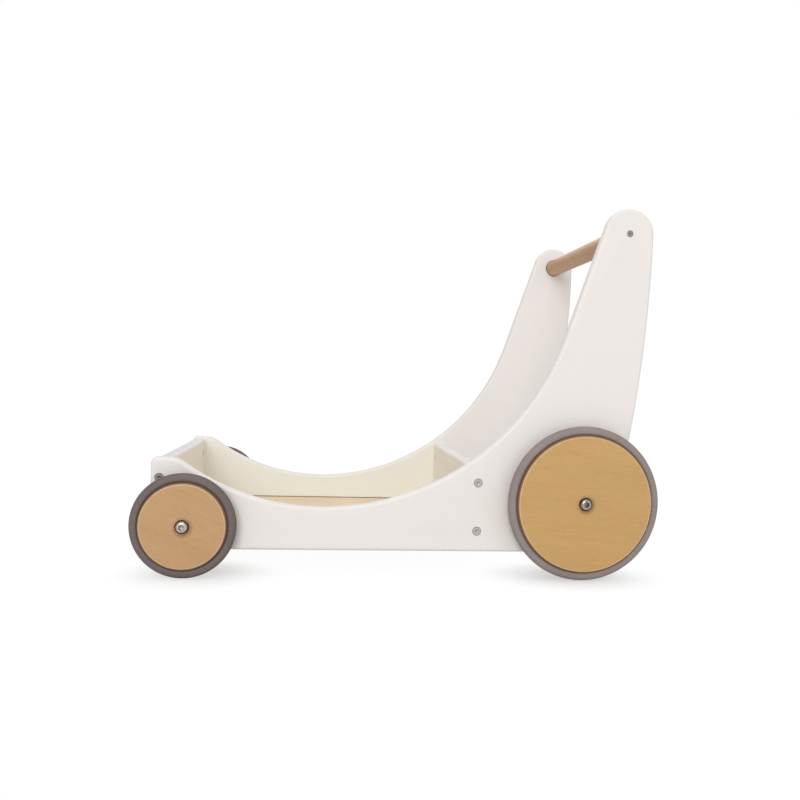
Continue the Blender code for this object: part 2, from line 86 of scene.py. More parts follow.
def marked(tree, name):
    """The mark that a mesh carries at its corners under a name; nothing where it has none."""
    return node(tree, "ShaderNodeAttribute", attribute_name=name).outputs["Fac"]


def relief(tree, shader, height, strength, distance):
    """Lets a height show as fine relief on a shader."""
    inputs = {"Height": height, "Strength": strength, "Distance": distance}
    made = node(tree, "ShaderNodeBump", inputs)
    tree.links.new(made.outputs["Normal"], shader.inputs["Normal"])


def colour(red, green, blue):
    """A screen colour, 0 to 255, as the linear colour that a shader takes."""
    parts = (red, green, blue)
    return [((c / 255 + 0.055) / 1.055) ** 2.4 if c > 10 else c / 3294 for c in parts] + [1.0]


def finish(name, **settings):
    """A new material: itself, its tree, its Principled shader and its Object coordinates."""
    material = bpy.data.materials.new(name)
    material.use_nodes = True
    tree = material.node_tree
    shader = tree.nodes["Principled BSDF"]
    for key, value in settings.items():
        shader.inputs[key.replace("_", " ")].default_value = value
    return material, tree, shader, node(tree, "ShaderNodeTexCoord").outputs["Object"]


def group(name, inputs, outputs):
    """An empty node group with named sockets; returns it with its input and output nodes."""
    made = bpy.data.node_groups.new(name, "ShaderNodeTree")
    for socket, (kind, default) in inputs.items():
        item = made.interface.new_socket(socket, in_out="INPUT", socket_type="NodeSocket" + kind)
        if default is not None:
            item.default_value = default
    for socket, kind in outputs.items():
        made.interface.new_socket(socket, in_out="OUTPUT", socket_type="NodeSocket" + kind)
    return made, node(made, "NodeGroupInput").outputs, node(made, "NodeGroupOutput").inputs


def sprayed_group():
    """Sprayed lacquer: broad cloudiness, rubbed patches, and the fine peel of the spray."""
    made, given, result = group(
        "sprayed_lacquer",
        {"Vector": ("Vector", None), "White": ("Color", (1, 1, 1, 1)),
         "Shade": ("Color", (1, 1, 1, 1)), "Edge": ("Float", 0.0), "Roughness": ("Float", 0.4)},
        {"Color": "Color", "Roughness": "Float", "Height": "Float"},
    )
    place = given["Vector"]
    cloud = remap(made, noise(made, place, scale=9.0, detail=4.0), 0.3, 0.75)
    # Rounded edges take no cloud and keep the lighter white: a small painted highlight.
    flat = sums(made, "SUBTRACT", 1.0, given["Edge"])
    shaded = sums(made, "MULTIPLY", cloud, flat)
    made.links.new(mix(made, shaded, given["White"], given["Shade"]), result["Color"])
    patches = noise(made, place, scale=34.0, detail=6.0, roughness=0.65)
    rubbed = remap(made, patches, 0.0, 1.0, -0.07, 0.09)
    made.links.new(sums(made, "ADD", given["Roughness"], rubbed), result["Roughness"])
    peel = noise(made, place, scale=620.0, detail=2.0)
    wave = noise(made, place, scale=90.0, detail=3.0)
    made.links.new(sums(made, "MULTIPLY_ADD", wave, 1.8, peel), result["Height"])
    return made


SPRAYED = sprayed_group()


def lacquer(name, white, shade, light_tints):
    """White satin lacquer; a light tint is a function that masks some faces, and the white painted
    on them for light.
    """
    material, tree, shader, place = finish(
        name, Coat_Weight=0.04, Coat_Roughness=0.3, Specular_IOR_Level=0.3
    )
    given = {
        "Vector": place, "White": colour(*white), "Shade": colour(*shade),
        "Edge": marked(tree, "edge"), "Roughness": 0.47,
    }
    coat = node(tree, "ShaderNodeGroup", given, node_tree=SPRAYED).outputs
    tone = coat["Color"]
    for mask, lit_white in light_tints:
        tone = mix(tree, mask(tree, place), tone, colour(*lit_white))
    tree.links.new(tone, shader.inputs["Base Color"])
    tree.links.new(coat["Roughness"], shader.inputs["Roughness"])
    relief(tree, shader, coat["Height"], strength=0.05, distance=0.0004)
    return material


def keep(shape, name, material, sharp=35):
    """Makes the object of a finished shape: smooth where it is round, lit by its larger faces."""
    mesh = bpy.data.meshes.new(name)
    shape.to_mesh(mesh)
    shape.free()
    mesh.materials.append(material)
    mesh.shade_smooth()
    mesh.set_sharp_from_angle(angle=math.radians(sharp))
    obj = bpy.data.objects.new(name, mesh)
    bpy.context.scene.collection.objects.link(obj)
    even = obj.modifiers.new("even_shading", "WEIGHTED_NORMAL")
    even.keep_sharp = True
    return obj


WELD = 0.000005


def turn(points, steps, ring=False):
    """A turned shape about +Z from (radius, height) points; a ring's points close up."""
    shape = bmesh.new()
    spots = [shape.verts.new((radius, 0, height)) for radius, height in points]
    for start, end in zip(spots, spots[1:] + (spots[:1] if ring else [])):
        shape.edges.new((start, end))
    bmesh.ops.spin(
        shape, geom=shape.verts[:] + shape.edges[:], axis=(0, 0, 1), cent=(0, 0, 0),
        angle=2 * math.pi, steps=steps, use_merge=True,
    )
    bmesh.ops.remove_doubles(shape, verts=shape.verts, dist=WELD)
    bmesh.ops.recalc_face_normals(shape, faces=shape.faces)
    return shape


def rod(radius, top, bottom, steps):
    """A plain round rod along Z between two heights, for turning further or for boring a hole."""
    return turn([(0, top), (radius, top), (radius, bottom), (0, bottom)], steps)


def ease(shape, offset, segments, choose=lambda edge: True, least=40):
    """Rounds the hard edges of a shape that the choice lets through; returns the new faces."""
    hard = [e for e in shape.edges if e.calc_face_angle(0) > math.radians(least) and choose(e)]
    made = bmesh.ops.bevel(
        shape, geom=hard, offset=offset, segments=segments, profile=0.5, affect="EDGES", material=-1
    )
    return made["faces"]


def seat(shape, x, y, z, facing):
    """Lays a shape's +Z along a direction and moves it to its place."""
    turned = Vector((0, 0, 1)).rotation_difference(Vector(facing)).to_matrix().to_4x4()
    bmesh.ops.transform(shape, matrix=Matrix.Translation((x, y, z)) @ turned, verts=shape.verts)
    return shape


def brick(low, high):
    """A box between two corners."""
    shape = bmesh.new()
    bmesh.ops.create_cube(shape, size=1)
    bmesh.ops.scale(shape, verts=shape.verts, vec=Vector(high) - Vector(low))
    bmesh.ops.translate(shape, verts=shape.verts, vec=(Vector(high) + Vector(low)) / 2)
    return shape


def cut_out(shape, tools):
    """Takes tool shapes out of a shape with a boolean, and gives back the cut shape."""
    work = keep(shape, "work", None)
    work.modifiers.clear()
    made = [work]
    for tool in tools:
        cutter = keep(tool, "tool", None)
        cutter.modifiers.clear()
        made.append(cutter)
        cutting = work.modifiers.new("cut", "BOOLEAN")
        cutting.operation = "DIFFERENCE"
        cutting.object = cutter
    result = bmesh.new()
    result.from_object(work, bpy.context.evaluated_depsgraph_get())
    bmesh.ops.remove_doubles(result, verts=result.verts, dist=WELD)
    bmesh.ops.dissolve_degenerate(result, dist=WELD, edges=result.edges)
    bmesh.ops.recalc_face_normals(result, faces=result.faces)
    for obj in made:
        bpy.data.objects.remove(obj, do_unlink=True)
    return result


def swing(shape, spot, centre, angle, steps):
    """Draws an arc in X and Z from a point about a centre; returns the arc's last point."""
    about = (centre[0], 0, centre[1])
    made = bmesh.ops.spin(
        shape, geom=[spot], axis=(0, -1, 0), cent=about, angle=angle, steps=steps
    )
    return next(item for item in made["geom_last"] if isinstance(item, bmesh.types.BMVert))


def draw_line(shape, spot, x, z):
    """Draws a straight edge from a point to a place in X and Z; returns its far point."""
    made = bmesh.ops.extrude_vert_indiv(shape, verts=[spot])["verts"]
    made[0].co = (x, 0, z)
    return made[0]


def bearing(start, end):
    """The angle of the line from one point to another."""
    return math.atan2(end[1] - start[1], end[0] - start[0])


def middle(name):
    """The middle of a CAD node's box."""
    low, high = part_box(name)
    return (Vector(low) + Vector(high)) / 2


def round_size(name):
    """The middle, the radius and the half width of a CAD node that is round about Y."""
    low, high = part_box(name)
    return middle(name), (high[0] - low[0]) / 2, (high[1] - low[1]) / 2


ENDS = {"front": middle("tyre_front_left").x, "rear": middle("tyre_rear_left").x}
low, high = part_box("side_panel_left")
NOSE_X, UNDERSIDE = low[0], low[2]
PANEL_OUTER = -low[1]
PANEL_THICKNESS = high[1] - low[1]
PANEL_INNER = PANEL_OUTER - PANEL_THICKNESS
BAR, BAR_RADIUS, BAR_HALF = round_size("handle_bar")
CAP_RADIUS = 0.0283
CAP = Vector((BAR.x, high[2] - CAP_RADIUS))
BACK_RADIUS = 1.5
FOOT_RADIUS = 0.008
NOSE_RADIUS = 0.0075
SHOULDER_RADIUS = 0.028
HEEL_PAST_AXLE = 0.03
BELLY_PAST_AXLE = 0.1438
BELLY_HEIGHT = 0.0472
POST_BEFORE_BAR = 0.0555
NOSE_HEIGHT = 0.0992
SHOULDER_PAST_NOSE = 0.018
ROUNDOVER = 0.004


def round_over(shape, choose=lambda edge: True, least=40):
    """Rounds edges over as a router does, and marks them for the lacquer's painted highlight."""
    mark = shape.verts.layers.float.new("edge")
    for face in ease(shape, ROUNDOVER, segments=6, choose=choose, least=least):
        for vert in face.verts:
            vert[mark] = 1.0


def panel_shape():
    """The solid panel, standing on the plane Y = 0 and growing towards +Y, edges rounded over."""
    # The long back: an arc that touches the cap and runs to the heel, with a small arc at its foot.
    heel_point = Vector((ENDS["rear"] + HEEL_PAST_AXLE, UNDERSIDE))
    reach = BACK_RADIUS - CAP_RADIUS
    between = (heel_point - CAP).length
    along = (reach**2 - BACK_RADIUS**2 + between**2) / (2 * between)
    down = (heel_point - CAP) / between
    back = CAP + down * along + Vector((down.y, -down.x)) * math.sqrt(reach**2 - along**2)
    foot_z = UNDERSIDE + FOOT_RADIUS
    inset = math.sqrt((BACK_RADIUS - FOOT_RADIUS) ** 2 - (foot_z - back.y) ** 2)
    heel = Vector((back.x + inset, foot_z))
    # The belly: two arcs that meet level at its lowest point, one to the post, one to the nose.
    belly_x, belly_z = ENDS["front"] + BELLY_PAST_AXLE, UNDERSIDE + BELLY_HEIGHT
    rear_radius = BAR.x - belly_x - POST_BEFORE_BAR
    rear = Vector((belly_x, belly_z + rear_radius))
    lean = bearing(rear, CAP) - math.acos((rear_radius + CAP_RADIUS) / (CAP - rear).length)
    nose_z = UNDERSIDE + NOSE_HEIGHT
    shoulder = Vector((NOSE_X + SHOULDER_PAST_NOSE, nose_z - SHOULDER_RADIUS))
    ahead, drop = belly_x - shoulder.x, shoulder.y - belly_z
    front_radius = (ahead**2 + drop**2 - SHOULDER_RADIUS**2) / (2 * (SHOULDER_RADIUS + drop))
    front = Vector((belly_x, belly_z + front_radius))
    rise = bearing(shoulder, front)
    heel_turn, cap_turn = bearing(back, heel), bearing(back, CAP)
    quarter = math.pi / 2

    # The outline: up the back, round the cap, down the post, along the belly and round the nose.
    shape = bmesh.new()
    spot = first = shape.verts.new((heel.x, 0, UNDERSIDE))
    spot = swing(shape, spot, heel, heel_turn + quarter, steps=10)
    spot = swing(shape, spot, back, cap_turn - heel_turn, steps=40)
    spot = swing(shape, spot, CAP, lean + math.pi - cap_turn, steps=48)
    start = rear + Vector((math.cos(lean), math.sin(lean))) * rear_radius
    spot = draw_line(shape, spot, start.x, start.y)
    spot = swing(shape, spot, rear, -quarter - lean, steps=64)
    spot = swing(shape, spot, front, rise - quarter, steps=28)
    spot = swing(shape, spot, shoulder, quarter - rise, steps=8)
    nose = Vector((NOSE_X + NOSE_RADIUS, nose_z - NOSE_RADIUS))
    spot = draw_line(shape, spot, nose.x, nose_z)
    spot = swing(shape, spot, nose, quarter, steps=8)
    spot = draw_line(shape, spot, NOSE_X, foot_z)
    spot = swing(shape, spot, (NOSE_X + FOOT_RADIUS, foot_z), quarter, steps=10)
    shape.edges.new((spot, first))
    bmesh.ops.remove_doubles(shape, verts=shape.verts, dist=2 * WELD)
    bmesh.ops.contextual_create(shape, geom=shape.edges[:])
    grown = bmesh.ops.extrude_face_region(shape, geom=shape.faces[:])["geom"]
    moved = [v for v in grown if isinstance(v, bmesh.types.BMVert)]
    bmesh.ops.translate(shape, verts=moved, vec=(0, PANEL_THICKNESS, 0))
    bmesh.ops.recalc_face_normals(shape, faces=shape.faces)
    round_over(shape, least=60)
    return shape


SIDES = {"left": -1, "right": 1}
LEVELS = ("upper", "lower")
GAP = 0.0003
GROOVE_PLAY = 0.0012
SOCKET_PLAY = 0.0008
SOCKET_DEPTH = 0.004
BOLT_HOLE = {"head": 0.005, "shank": 0.0028, "rim": 0.0014}
SCREW_HOLE = {"head": 0.0038, "shank": 0.0023, "rim": 0.001}
HOLE_DEPTH = PANEL_THICKNESS + 0.004
CUTTER_PAST = 0.003


def sunk_hole(name, side, head, shank, rim):
    """A countersunk through hole where a flat-headed screw sits, a little wider than the screw."""
    at = middle(name)
    points = [(0, CUTTER_PAST), (head, CUTTER_PAST), (head, -rim)]
    points += [(shank, -rim - (head - shank)), (shank, -HOLE_DEPTH), (0, -HOLE_DEPTH)]
    return seat(turn(points, steps=64), at.x, side * PANEL_OUTER, at.z, (0, side, 0))


def panel_holes(label):
    """Everything that is drilled or milled in one panel."""
    side = SIDES[label]
    out = (0, side, 0)
    bolts = [f"connector_bolt_{end}_{level}_{label}" for end in ENDS for level in LEVELS]
    holes = [sunk_hole(bolt, side, **BOLT_HOLE) for bolt in bolts]
    holes.append(sunk_hole("handle_screw_" + label, side, **SCREW_HOLE))
    for end in ENDS:
        at, radius, half = round_size(f"axle_sleeve_{end}_{label}")
        deep = PANEL_OUTER - (abs(at.y) - half) + GAP
        hole = rod(radius + GAP, CUTTER_PAST, -deep, steps=48)
        holes.append(seat(hole, at.x, side * PANEL_OUTER, at.z, out))
    socket = rod(BAR_RADIUS + SOCKET_PLAY, SOCKET_DEPTH, -SOCKET_DEPTH, steps=64)
    holes.append(seat(socket, BAR.x, side * PANEL_INNER, BAR.z, out))
    low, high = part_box("cargo_floor")
    below, above = Vector((GAP, GAP, GAP)), Vector((GAP, GAP, GROOVE_PLAY))
    holes.append(brick(Vector(low) - below, Vector(high) + above))
    return holes


INSIDE_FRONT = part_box("front_board")[1][0]
INSIDE_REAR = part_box("rear_board")[0][0]


def between_x(tree, place, start, stop):
    """A mask of what lies between two places along X."""
    x = node(tree, "ShaderNodeSeparateXYZ", {"Vector": place}).outputs["X"]
    behind = sums(tree, "GREATER_THAN", x, start)
    ahead = sums(tree, "LESS_THAN", x, stop)
    return sums(tree, "MULTIPLY", behind, ahead)


def lit_inner_faces(tree, place):
    """The panels' inner faces, which get a lighter white: painted light."""
    skin = 0.0005
    y = node(tree, "ShaderNodeSeparateXYZ", {"Vector": place}).outputs["Y"]
    return sums(tree, "LESS_THAN", sums(tree, "ABSOLUTE", y), PANEL_INNER + skin)


def bounce_lit_panel_inside(tree, place):
    """The panels' inner faces between the two boards, painted a warmer white for the light that the
    plywood floor bounces onto them.
    """
    between = between_x(tree, place, INSIDE_FRONT, INSIDE_REAR)
    return sums(tree, "MULTIPLY", between, lit_inner_faces(tree, place))


# The inner faces get a lighter white, and the cradle's inside a warmer one: painted light.
PANEL_WHITE = lacquer(
    "panel_white_lacquer", white=(233, 228, 225), shade=(230, 225, 221),
    light_tints=((lit_inner_faces, (236, 231, 228)), (bounce_lit_panel_inside, (235, 235, 228))),
)
for label, side in SIDES.items():
    shape = panel_shape()
    near_face = -PANEL_OUTER if side < 0 else PANEL_INNER
    bmesh.ops.translate(shape, verts=shape.verts, vec=(0, near_face, 0))
    panel = keep(cut_out(shape, panel_holes(label)), "panel_" + label, PANEL_WHITE)
    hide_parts("side_panel_" + label)
    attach(panel, "frame")

# The front and rear boards of the cradle: 16 mm board, long edges rounded over, sprayed the same
# white. Their ends butt on the panels; each inner face is bored for two pairs of barrel nuts and
# grooved near the bottom for the floor.
FACING = {"front": 1, "rear": -1}
BUTT = GAP + 0.00005
LONG_EDGE = 0.1
NUT_HOLE_RADIUS, NUT_HOLE_DEPTH = 0.0048, 0.0125
BOLT_HOLE_RADIUS, BOLT_HOLE_DEPTH = 0.0028, 0.0252


def bounce_lit_board_inside(tree, place):
    """The faces that the two boards turn to each other, painted a lighter, warmer white for the
    light that the plywood floor bounces onto them.
    """
    skin = 0.0004
    return between_x(tree, place, INSIDE_FRONT - skin, INSIDE_REAR + skin)


# The boards' inner faces get a lighter, warmer white: painted bounce light.
BOARD_WHITE = lacquer(
    "board_white_lacquer", white=(231, 226, 223), shade=(228, 222, 218),
    light_tints=((bounce_lit_board_inside, (247, 241, 229)),),
)
for end, facing in FACING.items():
    low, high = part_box(end + "_board")
    inner_x = high[0] if facing > 0 else low[0]
    ends = Vector((0, BUTT, 0))
    shape = brick(Vector(low) - ends, Vector(high) + ends)
    round_over(shape, lambda e: abs(e.verts[0].co.y - e.verts[1].co.y) > LONG_EDGE)
    tools = []
    for level in LEVELS:
        for label, side in SIDES.items():
            at = middle(f"barrel_nut_{end}_{level}_{label}")
            hole = rod(NUT_HOLE_RADIUS, CUTTER_PAST, -NUT_HOLE_DEPTH, steps=40)
            tools.append(seat(hole, inner_x, at.y, at.z, (facing, 0, 0)))
            bolt = middle(f"connector_bolt_{end}_{level}_{label}")
            hole = rod(BOLT_HOLE_RADIUS, CUTTER_PAST, -BOLT_HOLE_DEPTH, steps=24)
            tools.append(seat(hole, bolt.x, side * PANEL_INNER, at.z, (0, side, 0)))
    low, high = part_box("cargo_floor")
    play = Vector((GAP, GAP, GAP))
    tools.append(brick(Vector(low) - play, Vector(high) + play))
    board = keep(cut_out(shape, tools), "board_" + end, BOARD_WHITE)
    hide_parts(end + "_board")
    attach(board, "frame")

# The cradle's floor: a sheet of 6 mm plywood under clear lacquer, slid into grooves in the panels
# and boards before the bolts were drawn up. Its face veneer runs across the walker.
GRAIN_ALONG_Y = (0, 0, math.pi / 2)
SHEET_EDGE = 0.0006


def vectors(tree, operation, *values):
    """The result of a sum on vectors: a length, a distance, or another vector."""
    made = node(tree, "ShaderNodeVectorMath", dict(enumerate(values)), operation=operation)
    return made.outputs["Value" if operation in ("LENGTH", "DISTANCE") else "Vector"]


def grain_group():
    """Wood seen along X: growth bands, fine fibre lines, short rays, and the open pores' height."""
    made, given, result = group(
        "wood_grain",
        {"Vector": ("Vector", None), "Pale": ("Color", (1, 1, 1, 1)),
         "Dark": ("Color", (0, 0, 0, 1)), "Bands": ("Float", 60.0), "Contrast": ("Float", 0.5)},
        {"Color": "Color", "Mask": "Float", "Height": "Float"},
    )
    place = given["Vector"]
    drift = node(made, "ShaderNodeTexNoise", {"Vector": place, "Scale": 7.0, "Detail": 2.0})
    bend = vectors(made, "MULTIPLY", drift.outputs["Color"], (0.0, 0.03, 0.03))
    bent = vectors(made, "ADD", place, bend)
    slow = vectors(made, "MULTIPLY", bent, (0.06, 1.0, 1.0))
    band = noise(made, slow, scale=given["Bands"], detail=5.0, roughness=0.6)
    stretched = vectors(made, "MULTIPLY", bent, (0.025, 1.0, 1.0))
    fibre = noise(made, stretched, scale=1100.0, detail=3.0, roughness=0.7)
    short = vectors(made, "MULTIPLY", place, (0.16, 1.0, 1.0))
    ray = noise(made, short, scale=520.0, detail=1.0)
    fleck = remap(made, ray, 0.64, 0.74)
    wide = remap(made, band, 0.32, 0.68)
    fine = remap(made, fibre, 0.35, 0.7, 0.0, 0.55)
    lines = sums(made, "MULTIPLY_ADD", wide, 0.6, fine)
    mask = sums(made, "MULTIPLY_ADD", fleck, 0.35, lines)
    depth = sums(made, "MULTIPLY", mask, given["Contrast"], use_clamp=True)
    made.links.new(mix(made, depth, given["Pale"], given["Dark"]), result["Color"])
    made.links.new(mask, result["Mask"])
    made.links.new(sums(made, "SUBTRACT", 1.0, mask), result["Height"])
    return made


GRAIN = grain_group()


def wood(name, pale, dark, bands, contrast, turned, centre, gloss):
    """Clear-lacquered wood: turned lays the grain, centre chooses the part of the plank."""
    highlight_pale, highlight_share = 0.28, 0.55
    # Dark brown painted shade for the crease between a disc's rim and its tyre.
    crease_shade_tone = colour(100, 66, 38)
    material, tree, shader, place = finish(
        name, Coat_Weight=0.18, Coat_Roughness=0.3, Specular_IOR_Level=0.4
    )
    placing = {"Vector": place, "Location": centre, "Rotation": turned}
    given = {
        "Vector": node(tree, "ShaderNodeMapping", placing).outputs[0],
        "Pale": colour(*pale), "Dark": colour(*dark), "Bands": bands, "Contrast": contrast,
    }
    grain = node(tree, "ShaderNodeGroup", given, node_tree=GRAIN).outputs
    # The marked start of each rounded rim gets a paler colour: a painted highlight.
    rim = [highlight_pale + (1 - highlight_pale) * c for c in colour(*pale)[:3]] + [1.0]
    rim_highlight = sums(tree, "MULTIPLY", marked(tree, "edge"), highlight_share)
    tint = mix(tree, rim_highlight, grain["Color"], rim)
    # The marked crease beside the tyre turns dark brown: painted shade.
    crease_shaded = mix(tree, marked(tree, "crease_shade"), tint, crease_shade_tone)
    tree.links.new(crease_shaded, shader.inputs["Base Color"])
    rough = remap(tree, grain["Mask"], 0.0, 1.0, gloss, gloss + 0.14)
    tree.links.new(rough, shader.inputs["Roughness"])
    relief(tree, shader, grain["Height"], strength=0.08, distance=0.0003)
    return material


FLOOR_WOOD = wood(
    "floor_plywood", pale=(238, 218, 189), dark=(214, 186, 150), bands=26.0, contrast=0.6,
    turned=GRAIN_ALONG_Y, centre=(0.3, 0.1, 0.7), gloss=0.42,
)
low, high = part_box("cargo_floor")
shape = brick(low, high)
ease(shape, SHEET_EDGE, segments=2)
sheet = keep(shape, "floor_sheet", FLOOR_WOOD)
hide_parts("cargo_floor")
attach(sheet, "frame")

# The push bar: a beech rod turned to an even thickness, ends just eased, under clear lacquer. It
# is let into a shallow socket in each post, and a screw through the post draws it tight.
BAR_WOOD = wood(
    "bar_beech", pale=(202, 160, 118), dark=(159, 117, 78), bands=70.0, contrast=0.62,
    turned=GRAIN_ALONG_Y, centre=(0.05, 0.4, 0.2), gloss=0.4,
)
BAR_EDGE = 0.0009
shape = rod(BAR_RADIUS, BAR_HALF, -BAR_HALF, steps=96)
ease(shape, BAR_EDGE, segments=3)
bar = keep(seat(shape, BAR.x, 0, BAR.z, (0, 1, 0)), "push_bar", BAR_WOOD)
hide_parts("handle_bar")
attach(bar, "frame")

# Flat-headed bolts and screws: zinc-plated connector bolts through the panels into barrel nuts,
# the front ones in a darker, rougher copy of the zinc that paints the shade and dark reflection
# they show, and a dark plated screw through each post into the end of the bar. All are turned and
# threaded steel with a key socket in the head.
CONNECTOR = {"head": 0.0045, "shank": 0.0025, "rim": 0.001, "flats": 0.004, "depth": 0.0008}
BAR_SCREW = {"head": 0.0035, "shank": 0.002, "rim": 0.0006, "flats": 0.0026, "depth": 0.0008}
HEAD_EDGE = 0.0003
PITCH = 0.001
THREAD_DEPTH = 0.0005
LEAD, LEAD_TAPER = 0.001, 0.0008
SOCKET_SHADE_TONE = (52, 47, 44)


def plated(name, tone, shade, roughness, scratch, socket_shade):
    """Plated steel: uneven tone, painted shade down in the socket, smudged gloss, turning marks."""
    material, tree, shader, place = finish(name, Metallic=1.0)
    blotch = noise(tree, place, scale=240.0, detail=4.0)
    tint = mix(tree, blotch, colour(*tone), colour(*shade))
    # The socket's marked floor darkens: painted shade.
    deep = sums(tree, "MULTIPLY", marked(tree, "sunk"), socket_shade)
    tree.links.new(mix(tree, deep, tint, colour(*SOCKET_SHADE_TONE)), shader.inputs["Base Color"])
    smudge = noise(tree, place, scale=420.0, detail=5.0, roughness=0.7)
    rough = remap(tree, smudge, 0.0, 1.0, roughness - 0.08, roughness + 0.12)
    tree.links.new(rough, shader.inputs["Roughness"])
    marks = noise(tree, place, scale=2600.0, detail=2.0)
    relief(tree, shader, marks, strength=scratch, distance=0.0001)
    return material


def key_socket(shape, flats, depth, top):
    """Sinks a six-sided socket with a drilled floor into the flat top of a turned shape."""
    sixth = math.pi / 3
    drill_point = flats * 0.2
    # Marks the socket's floor for painted shade, and its drilled tip less, for a paler centre.
    mark = shape.verts.layers.float.new("sunk")
    flat = [f for f in shape.faces if f.normal.z > 0.9]
    lid = [f for f in flat if all(abs(v.co.z - top) < 2 * WELD for v in f.verts)]
    rim = [e for e in shape.edges if sum(f in lid for f in e.link_faces) == 1]
    bmesh.ops.delete(shape, geom=lid, context="FACES")
    for down in (0.0, depth):
        made = bmesh.ops.extrude_edge_only(shape, edges=rim)["geom"]
        rim = [e for e in made if isinstance(e, bmesh.types.BMEdge)]
        for vert in (v for v in made if isinstance(v, bmesh.types.BMVert)):
            angle = math.atan2(vert.co.y, vert.co.x)
            reach = flats / 2 / math.cos((angle + sixth / 2) % sixth - sixth / 2)
            vert.co = (reach * math.cos(angle), reach * math.sin(angle), top - down)
            vert[mark] = 1.0 if down else 0.0
    made = bmesh.ops.extrude_edge_only(shape, edges=rim)["geom"]
    tip = [v for v in made if isinstance(v, bmesh.types.BMVert)]
    for vert in tip:
        vert[mark] = 0.3
    bmesh.ops.pointmerge(shape, verts=tip, merge_co=(0, 0, top - depth - drill_point))
    bmesh.ops.remove_doubles(shape, verts=shape.verts, dist=WELD)
    bmesh.ops.recalc_face_normals(shape, faces=shape.faces)
    return shape


def thread(radius, neck, tip):
    """The outline of a threaded shank, from its neck down to its tapered tip."""
    turns = int((neck - tip - 2 * LEAD) / PITCH)
    start = tip + LEAD + turns * PITCH
    points = []
    for i in range(turns):
        points.append((radius, start - i * PITCH))
        points.append((radius - THREAD_DEPTH, start - (i + 0.5) * PITCH))
    return points + [(radius, tip + LEAD), (radius - LEAD_TAPER, tip), (0, tip)]


def proud(name, side):
    """How far a CAD node stands out of its panel's outer face, and how long it is along Y."""
    low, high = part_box(name)
    return (high[1] if side > 0 else -low[1]) - PANEL_OUTER, high[1] - low[1]


def flat_screw(name, node_name, material, slot, side, head, shank, rim, flats, depth):
    """A countersunk screw in its panel: eased head, key socket and threaded shank."""
    at = middle(node_name)
    top, length = proud(node_name, side)
    neck = top - rim - (head - shank)
    points = [(0, top), (head - HEAD_EDGE, top), (head, top - HEAD_EDGE), (head, top - rim)]
    points += [(shank, neck)] + thread(shank, neck, top - length)
    shape = key_socket(turn(points, steps=36), flats, depth, top)
    screw = keep(seat(shape, at.x, side * PANEL_OUTER, at.z, (0, side, 0)), name, material)
    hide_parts(node_name)
    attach(screw, "frame")


BRIGHT_ZINC = plated(
    "bright_zinc", (212, 209, 208), (196, 193, 192), roughness=0.36, scratch=0.12, socket_shade=0.5
)
# A darker copy of the zinc for the front bolts: painted shade and dark reflection.
SHADED_ZINC = plated(
    "shaded_zinc", (162, 157, 154), (140, 135, 132), roughness=0.5, scratch=0.12, socket_shade=0.6
)
DARK_PLATE = plated(
    "dark_plate", (176, 170, 167), (152, 146, 143), roughness=0.4, scratch=0.1, socket_shade=0.85
)
CONNECTOR_ZINC = {"front": SHADED_ZINC, "rear": BRIGHT_ZINC}
for label, side in SIDES.items():
    for end, zinc in CONNECTOR_ZINC.items():
        for level in LEVELS:
            name = f"{end}_{level}_{label}"
            bolt, bolt_node = "bolt_" + name, "connector_bolt_" + name
            flat_screw(bolt, bolt_node, zinc, "zinc_steel", side, **CONNECTOR)
    screw, screw_node = "bar_screw_" + label, "handle_screw_" + label
    flat_screw(screw, screw_node, DARK_PLATE, "dark_steel", side, **BAR_SCREW)

# Barrel nuts: short zinc-plated cylinders across the boards, cross-drilled for the bolts, with a
# screwdriver slot in the end that shows, to line the hole up.
NUT_EDGE = 0.0004
CROSS_RADIUS, CROSS_REACH = 0.0028, 0.02
NOTCH_HALF, NOTCH_REACH, NOTCH_DEPTH = 0.0007, 0.009, 0.0012
for end, facing in FACING.items():
    for level in LEVELS:
        for label in SIDES:
            name = f"{end}_{level}_{label}"
            low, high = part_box("barrel_nut_" + name)
            at = middle("barrel_nut_" + name)
            half, radius = (high[0] - low[0]) / 2, (high[1] - low[1]) / 2
            shape = rod(radius, half, -half, steps=40)
            ease(shape, NUT_EDGE, segments=2)
            off_middle = (middle("connector_bolt_" + name).x - at.x) * facing
            cross = rod(CROSS_RADIUS, CROSS_REACH, -CROSS_REACH, steps=24)
            seat(cross, 0, 0, off_middle, (0, 1, 0))
            notch = brick(
                (-NOTCH_HALF, -NOTCH_REACH, half - NOTCH_DEPTH),
                (NOTCH_HALF, NOTCH_REACH, half + CUTTER_PAST),
            )
            shape = seat(cut_out(shape, [cross, notch]), at.x, at.y, at.z, (facing, 0, 0))
            nut = keep(shape, "nut_" + name, BRIGHT_ZINC)
            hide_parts("barrel_nut_" + name)
            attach(nut, "frame")

